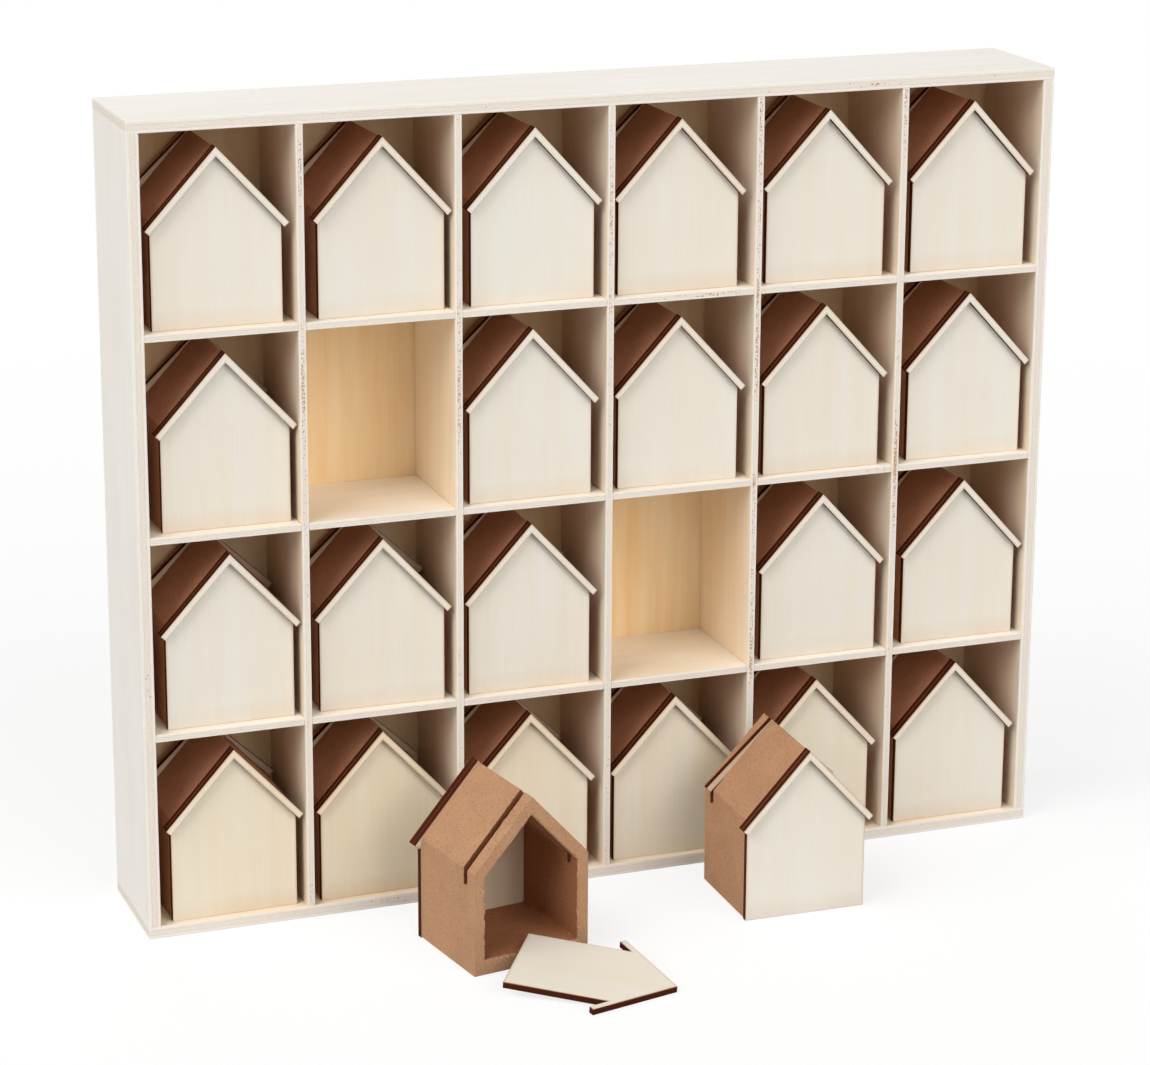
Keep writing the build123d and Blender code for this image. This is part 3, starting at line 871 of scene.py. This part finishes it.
placed = add(stand_tree, "GeometryNodeTransform", {
    "Geometry": stored, "Translation": stand_in["Place"], "Rotation": upright}).outputs[0]
coated = add(stand_tree, "GeometryNodeRealizeInstances", {"Geometry": placed}).outputs[0]
for chosen, label in ((is_face, "Face"), (is_edge, "Edge"), (is_kerf, "Kerf")):
    coated = add(stand_tree, "GeometryNodeSetMaterial", {
        "Geometry": coated, "Selection": chosen, "Material": stand_in[label]}).outputs[0]
stand_tree.links.new(coated, stand_out["Geometry"])
print("tree:", stand_tree.name)

# %% [markdown]
# Each pattern is one mesh that carries the number of its finish on every face. In the cells the three
# plates of a house ride together, so they share a pattern. The shell gets its fuzz here, once for all
# houses, since growing it on each would only repeat the same fibres.

# %% Pattern meshes
FUZZ = {"Spacing": 1.3 * MM, "Length": 0.5 * MM, "Width": 0.09 * MM, "Seed": 12, "Fibre": routed_board}


def pattern_mesh(shapes, name):
    """One mesh of the given shapes, in the house's own axes."""
    whole = merged(shapes)
    finish = whole.faces.layers.int.new("finish")
    for face in whole.faces:
        face[finish] = face.material_index
        face.material_index = 0
    mesh = bpy.data.meshes.new(name)
    whole.to_mesh(mesh)
    whole.free()
    return mesh


patterns = {name: pattern_mesh([shape], name) for name, shape in plate_shapes.items()}
patterns["plywood"] = pattern_mesh(plate_shapes.values(), "plywood")
bare_shell = bpy.data.objects.new("bare_shell", pattern_mesh([shell_shape], "bare_shell"))
bpy.context.scene.collection.objects.link(bare_shell)
patterns["shell"] = run_tree(bare_shell, fuzz_tree, FUZZ).data
bpy.data.objects.remove(bare_shell)
print("patterns:", {name: len(mesh.polygons) for name, mesh in patterns.items()})

# %% [markdown]
# Each piece is stood in its house and takes the place of its imported node. Five fronts of the bottom row
# were cut from a yellower sheet. The two houses in front are of plain fibreboard, and the shells in the
# cells are painted redder as their shade. The open house's slide plate is out of its kerf and comes in
# the next step.

# %% Stand the houses
GRAIN_STEP = (0.113, 0.291, 0.0)
YELLOW_HOUSES = [f"house_row4_col{column}" for column in range(1, 6)]
STANDING_HOUSES = ["open_house", "closed_house"]


def stand_piece(body, kind, number):
    """One piece of a house, from its pattern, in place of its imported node."""
    axes = house_places[body]
    node = f"{body}_{kind}"
    piece = bpy.data.objects.new(f"{node}.wood", patterns[kind].copy())
    bpy.context.scene.collection.objects.link(piece)
    veneer = yellow_veneer if body in YELLOW_HOUSES else house_veneer
    # The shells in the cells take the fibreboard that is painted redder as their shade.
    board = pressed_board if body in STANDING_HOUSES else redder_board_as_painted_shade
    finishes = (board, routed_board, kerf_board_singed_and_shaded) if kind == "shell" else (veneer, plate_edge, rear_veneer_with_painted_shade)
    run_tree(piece, stand_tree, {
        "Place": axes.translation, "Turn": math.atan2(axes[1][0], axes[0][0]),
        "Grain shift": Vector(GRAIN_STEP) * number, **dict(zip(("Face", "Edge", "Kerf"), finishes))})
    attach(piece, next(name for name, nodes in bodies.items() if node in nodes))
    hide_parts(node)
    return piece


houses = []
for number, body in enumerate(house_names):
    kinds = [kind for kind in patterns if f"{body}_{kind}" in frame["nodes"]]
    if body == "open_house":
        kinds.remove("slide_plate")
    houses += [stand_piece(body, kind, number) for kind in kinds]
print("houses:", len(houses), "pieces,", sum(len(piece.data.polygons) for piece in houses), "faces")

# %% [markdown]
# The slide plate of the open house lies aslant, one roof edge on the table. It has the same cut and
# finish as the others, but its own directions: across is the normal of its largest face, and the grain
# runs to its apex, the corner that is far from both feet.

# %% Loose slide plate
loose = solid("open_house_slide_plate")
sheet_face = max((face for face in loose.faces if face.normal.z > 0), key=lambda face: face.calc_area())
outline = [vert.co.copy() for vert in sheet_face.verts]
apex = max(outline, key=lambda point: sorted((point - other).length for other in outline)[-2])
loose_across = sheet_face.normal.copy()
loose_grain = (apex - sum(outline, Vector()) / len(outline)).normalized()
loose.free()
loose_shape = laser_plate("open_house_slide_plate", Matrix(), loose_across, loose_grain)
loose_plate = to_object(loose_shape, "open_house_slide_plate.wood", [house_veneer, plate_edge, rear_veneer_with_painted_shade])
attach(loose_plate, "open_house_plate")
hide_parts("open_house_slide_plate")
print("loose plate:", len(loose_plate.data.polygons), "faces")

# %% [markdown]
# The floor is white paper. To the rays that carry the view it is mostly plain white, with more of its
# own lit colour near the calendar, so it keeps a soft shadow there and meets the white background
# without a line. To the light it is a mid grey, or it would fill the cells from below.

# %% Floor
FLOOR_RADIUS = 14.0
FLOOR_SIDES = 96
FLOOR_DROP = 0.05 * MM
FLOOR_BOUNCE = 0.62
SHADOW_SHARE = 0.24
SHADOW_REACH = (0.35, 1.1)


def seen_rays(tree):
    """1 for the rays that carry the view: straight from the camera, or by way of gloss or glass."""
    path = add(tree, "ShaderNodeLightPath").outputs
    total = path["Is Camera Ray"]
    for kind in ("Is Glossy Ray", "Is Transmission Ray"):
        total = add(tree, "ShaderNodeMath", {0: total, 1: path[kind]}, operation="ADD",
                    use_clamp=True).outputs[0]
    return total


floor_shape = bmesh.new()
bmesh.ops.create_circle(floor_shape, cap_ends=True, segments=FLOOR_SIDES, radius=FLOOR_RADIUS)
bmesh.ops.translate(floor_shape, verts=floor_shape.verts, vec=(0, 0, -FLOOR_DROP))
white_paper, paper_tree, paper_shader = new_material("matt white paper", 0.9, 0.1)
seen = seen_rays(paper_tree)
paper = add(paper_tree, "ShaderNodeMix", {
    0: seen, 6: [FLOOR_BOUNCE] * 3 + [1], 7: linear("#fdfdfc")}, data_type="RGBA")
paper_tree.links.new(paper.outputs[2], paper_shader.inputs["Base Color"])
spot = add(paper_tree, "ShaderNodeTexCoord").outputs["Object"]
away = add(paper_tree, "ShaderNodeVectorMath", {0: spot}, operation="LENGTH").outputs["Value"]
white = add(paper_tree, "ShaderNodeMapRange", {
    "Value": away, "From Min": SHADOW_REACH[0], "From Max": SHADOW_REACH[1],
    "To Min": 1 - SHADOW_SHARE, "To Max": 1.0}).outputs[0]
white = add(paper_tree, "ShaderNodeMath", {0: white, 1: seen}, operation="MULTIPLY").outputs[0]
glow = add(paper_tree, "ShaderNodeEmission", {"Color": linear("#ffffff"), "Strength": 1.0}).outputs[0]
mixed = add(paper_tree, "ShaderNodeMixShader", {0: white, 1: paper_shader.outputs[0], 2: glow})
paper_tree.links.new(mixed.outputs[0], paper_tree.nodes["Material Output"].inputs["Surface"])
floor = to_object(floor_shape, "floor", [white_paper])
floor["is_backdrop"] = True
print("floor:", white_paper.name)

# %% [markdown]
# The light is a studio's. A wide soft box stands low in front, a little to the right, and reaches into
# the cells. A larger one at the left lights the cabinet's flank and the right walls of the cells. A
# weak one behind and a pale room fill in a little. Small lamps would do for brightness, but only wide
# ones leave the soft shade of the photograph. The room is plain white to the rays that carry the view.

# %% Room and soft boxes
ROOM_LIGHT = 0.12
LIGHT_DISTANCE = 10.0
LIGHT_AIM = Vector((0.0, -0.03, 0.18))
SOFT_BOXES = {
    "soft box in front": {"bearing": 22, "height": 27, "size": 8.5, "level": 0.67},
    "soft box at the left": {"bearing": -72, "height": 43, "size": 9.0, "level": 1.0},
    "soft box behind": {"bearing": 165, "height": 30, "size": 5.5, "level": 0.13},
}

room = bpy.data.worlds.new("pale room")
room.use_nodes = True
background = room.node_tree.nodes["Background"]
seen = seen_rays(room.node_tree)
level = add(room.node_tree, "ShaderNodeMapRange", {"Value": seen, "To Min": ROOM_LIGHT, "To Max": 1.0})
room.node_tree.links.new(level.outputs[0], background.inputs["Strength"])
background.inputs["Color"].default_value = linear("#ffffff")
bpy.context.scene.world = room

for name, box in SOFT_BOXES.items():
    bearing, height = math.radians(box["bearing"]), math.radians(box["height"])
    towards = Vector((math.sin(bearing) * math.cos(height), -math.cos(bearing) * math.cos(height),
                      math.sin(height)))
    light = bpy.data.lights.new(name, "AREA")
    light.shape = "SQUARE"
    light.size = box["size"]
    light.energy = box["level"] * (math.pi * LIGHT_DISTANCE) ** 2
    lamp = bpy.data.objects.new(name, light)
    lamp.location = LIGHT_AIM + towards * LIGHT_DISTANCE
    lamp.rotation_euler = towards.to_track_quat("Z", "Y").to_euler()
    bpy.context.scene.collection.objects.link(lamp)
    print(f"{name}: {light.energy:.0f} W")
bpy.context.scene.view_settings.view_transform = "Standard"

# %% [markdown]
# Last, the sizes: how far each side of the dressed calendar lies from that of the imported one.

# %% Sizes
look_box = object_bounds()
changes = [abs(a - b) for one, two in zip(cad_box, look_box) for a, b in zip(one, two)]
print(f"largest change of a side: {max(changes) / MM:.3f} mm")
